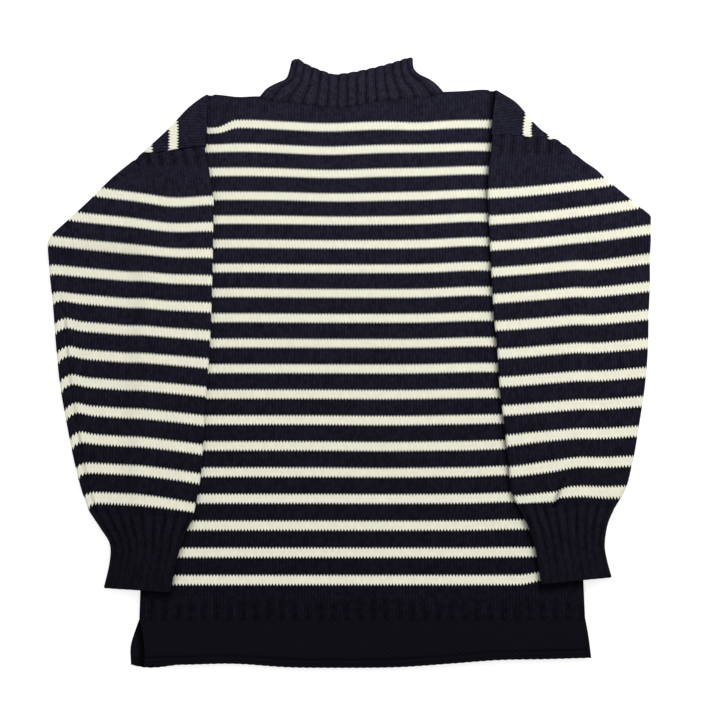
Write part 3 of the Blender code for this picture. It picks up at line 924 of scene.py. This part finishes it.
def stripe_group():
    """1 on a cream stripe and 0 on the navy ground, from the course and the last course."""
    tree, start, end = new_group(
        "stripes", [("Course", "NodeSocketFloat"), ("Last Course", "NodeSocketFloat")],
        [("Stripe", "NodeSocketFloat")])
    maths = partial(math_node, tree)
    course = maths("ADD", start.outputs["Course"], 0.5)
    along = maths("FRACT", maths("DIVIDE", course, PERIOD_COURSES))
    striped = maths("LESS_THAN", along, STRIPE_COURSES / PERIOD_COURSES)
    started = maths("GREATER_THAN", course, 0.0)
    ended = maths("LESS_THAN", course, start.outputs["Last Course"])
    stripe = maths("MULTIPLY", striped, maths("MULTIPLY", started, ended))
    tree.links.new(stripe, end.inputs["Stripe"])
    return tree


def moss_group():
    """Moss stitch: rounded beads on alternate places."""
    tree, start, end = new_group(
        "moss_knit", [("Knit", "NodeSocketVector")],
        [("Height", "NodeSocketFloat"), ("Relief", "NodeSocketFloat"),
         ("Uneven", "NodeSocketFloat")])
    maths = partial(math_node, tree)
    split = tree.nodes.new("ShaderNodeSeparateXYZ")
    tree.links.new(start.outputs["Knit"], split.inputs[0])
    across = maths("SINE", maths("MULTIPLY", split.outputs[0], math.pi))
    along = maths("SINE", maths("MULTIPLY", split.outputs[1], math.pi))
    bead = maths("MULTIPLY", across, along)
    height = maths("MULTIPLY_ADD", bead, 0.5, 0.5)
    noise = tree.nodes.new("ShaderNodeTexNoise")
    noise.inputs["Scale"].default_value = 1.6
    noise.inputs["Detail"].default_value = 2.0
    tree.links.new(start.outputs["Knit"], noise.inputs["Vector"])
    tree.links.new(height, end.inputs["Height"])
    tree.links.new(maths("SUBTRACT", height, MOSS_MEAN), end.inputs["Relief"])
    tree.links.new(maths("SUBTRACT", noise.outputs["Fac"], 0.5), end.inputs["Uneven"])
    return tree


def add_group(tree, group, **links):
    node = tree.nodes.new("ShaderNodeGroup")
    node.node_tree = group
    for label, value in links.items():
        socket = node.inputs[label.replace("_", " ")]
        if is_number(value):
            socket.default_value = value
        else:
            tree.links.new(value, socket)
    return node


def mix_colors(tree, share, first, second, blend="MIX"):
    node = tree.nodes.new("ShaderNodeMix")
    node.data_type = "RGBA"
    node.blend_type = blend
    for socket, value in ((node.inputs[0], share), (node.inputs[6], first),
                          (node.inputs[7], second)):
        if is_number(value) or isinstance(value, tuple):
            socket.default_value = value
        else:
            tree.links.new(value, socket)
    return node.outputs[2]


def navy_with_painted_light(tree, navy):
    """Navy wool with painted sheen: its colour is darkest at the hem and lighter towards the
    collar and the right side.
    """
    place = tree.nodes.new("ShaderNodeTexCoord")
    split = tree.nodes.new("ShaderNodeSeparateXYZ")
    tree.links.new(place.outputs["Object"], split.inputs[0])
    share = tree.nodes.new("ShaderNodeMapRange")
    toward = math_node(tree, "MULTIPLY_ADD", split.outputs[0], PAINTED_SHEEN_LEAN, split.outputs[1])
    tree.links.new(toward, share.inputs["Value"])
    share.inputs["From Min"].default_value = HEM_END
    share.inputs["From Max"].default_value = COLLAR_END
    return mix_colors(tree, share.outputs["Result"], navy[0], navy[1])


def wool(name, navy, groups, last_course=None, moss=False):
    """Knitted wool; with a last course it has cream stripes down to that course."""
    material = bpy.data.materials.new(name)
    material.use_nodes = True
    tree = material.node_tree
    maths = partial(math_node, tree)
    shader = tree.nodes["Principled BSDF"]
    shader.inputs["Roughness"].default_value = WOOL_ROUGHNESS
    shader.inputs["Specular IOR Level"].default_value = WOOL_SHEEN
    uv = tree.nodes.new("ShaderNodeUVMap")
    uv.uv_map = "knit"
    knit = add_group(tree, groups["moss" if moss else "stitch"], Knit=uv.outputs[0])
    color = navy_with_painted_light(tree, navy)
    painted_relief_light, unevenness = MOSS_TONE if moss else KNIT_TONE
    if last_course:
        stripes = add_group(tree, groups["stripes"], Course=knit.outputs["Course"],
                            Last_Course=float(last_course))
        stripe = stripes.outputs["Stripe"]
        color = mix_colors(tree, stripe, color, CREAM)
        painted_relief_light = maths("MULTIPLY_ADD", stripe, CREAM_TONE[0] - painted_relief_light, painted_relief_light)
        unevenness = maths("MULTIPLY_ADD", stripe, CREAM_TONE[1] - unevenness, unevenness)
    # Painted shade in the gaps between stitches and painted highlight on their crowns, then
    # uneven tone from stitch to stitch.
    tone_and_painted_shade = maths("MULTIPLY_ADD", knit.outputs["Relief"], painted_relief_light, 1.0)
    tone_and_painted_shade = maths("MULTIPLY_ADD", knit.outputs["Uneven"], unevenness, tone_and_painted_shade)
    # Painted shade from the vertex attribute darkens the colour further.
    painted_shade = tree.nodes.new("ShaderNodeAttribute")
    painted_shade.attribute_name = "painted_shade"
    unshaded_share = maths("MULTIPLY_ADD", painted_shade.outputs["Fac"], -PAINTED_SHADE_STRENGTH, 1.0)
    tone_and_painted_shade = maths("MULTIPLY", tone_and_painted_shade, unshaded_share)
    shade = tree.nodes.new("ShaderNodeCombineColor")
    for socket in shade.inputs[:3]:
        tree.links.new(tone_and_painted_shade, socket)
    color = mix_colors(tree, 1.0, color, shade.outputs[0], "MULTIPLY")
    tree.links.new(color, shader.inputs["Base Color"])
    bumped = tree.nodes.new("ShaderNodeBump")
    bumped.inputs["Strength"].default_value = BUMP_STRENGTH
    bumped.inputs["Distance"].default_value = MOSS_DEPTH if moss else KNIT_DEPTH
    tree.links.new(knit.outputs["Height"], bumped.inputs["Height"])
    tree.links.new(bumped.outputs["Normal"], shader.inputs["Normal"])
    return material


def finish_piece(piece, material):
    """Give a shell its wool; it stands for the solid that it is named after."""
    piece.data.materials.append(material)
    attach(piece, "root")
    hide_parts(piece.name.removesuffix("_knit"))


# Studio

def make_studio():
    shape = bmesh.new()
    bmesh.ops.create_grid(shape, x_segments=1, y_segments=1, size=TABLE_HALF)
    mesh = bpy.data.meshes.new("table")
    shape.to_mesh(mesh)
    shape.free()
    table = add_object("table", mesh)
    white = bpy.data.materials.new("table_white")
    white.use_nodes = True
    shader = white.node_tree.nodes["Principled BSDF"]
    shader.inputs["Base Color"].default_value = TABLE_COLOR
    shader.inputs["Roughness"].default_value = 1.0
    shader.inputs["Specular IOR Level"].default_value = 0.0
    shader.inputs["Emission Color"].default_value = WHITE
    shader.inputs["Emission Strength"].default_value = TABLE_GLOW
    mesh.materials.append(white)

    world = bpy.data.worlds.new("studio")
    world.use_nodes = True
    background = world.node_tree.nodes["Background"]
    background.inputs["Color"].default_value = WHITE
    background.inputs["Strength"].default_value = WORLD_LIGHT
    bpy.context.scene.world = world

    for name, place, size, power in LIGHTS:
        light = bpy.data.lights.new(name, "AREA")
        light.shape = "SQUARE"
        light.size = size
        light.energy = power
        lamp = add_object(name, light)
        lamp.location = place
        aim = Vector((0, 0, 0)) - Vector(place)
        lamp.rotation_euler = aim.to_track_quat("-Z", "Y").to_euler()


def make_camera():
    tilt = math.radians(CAMERA_TILT)
    target = Vector((PLAN_TO_FRAME[0], CAMERA_AIM_Y + PLAN_TO_FRAME[1], 0.0))
    data = bpy.data.cameras.new("camera")
    data.lens = CAMERA_LENS
    data.sensor_width = CAMERA_SENSOR
    camera = add_object("camera", data)
    away = Vector((0, -math.sin(tilt), math.cos(tilt)))
    camera.location = target + away * CAMERA_DISTANCE
    camera.rotation_euler = (tilt, 0.0, 0.0)
    bpy.context.scene.camera = camera


def main():
    bpy.context.scene.view_settings.view_transform = "Standard"
    groups = {"stitch": stitch_group(), "stripes": stripe_group(), "moss": moss_group()}
    body_last = PERIOD_COURSES * (BODY_STRIPES - 1) + STRIPE_COURSES + 1
    sleeve_last = PERIOD_COURSES * (SLEEVE_STRIPES - 1) + STRIPE_COURSES + 1
    body_knit = wool("body_knit", NAVY, groups, last_course=body_last)
    sleeve_knit = wool("sleeve_knit", NAVY, groups, last_course=sleeve_last)
    rib = wool("ribbing", NAVY_RIB, groups)
    moss = wool("moss_stitch", NAVY_MOSS, groups, moss=True)
    front, back = make_body(body_knit)
    front_welt, back_welt = make_welts(moss)
    sleeves = {side: make_sleeve(side, sleeve_knit) for side in SIDES}
    cuffs = {side: make_cuff(side, rib) for side in SIDES}
    collar = make_collar(rib)
    make_studio()
    make_camera()


main()
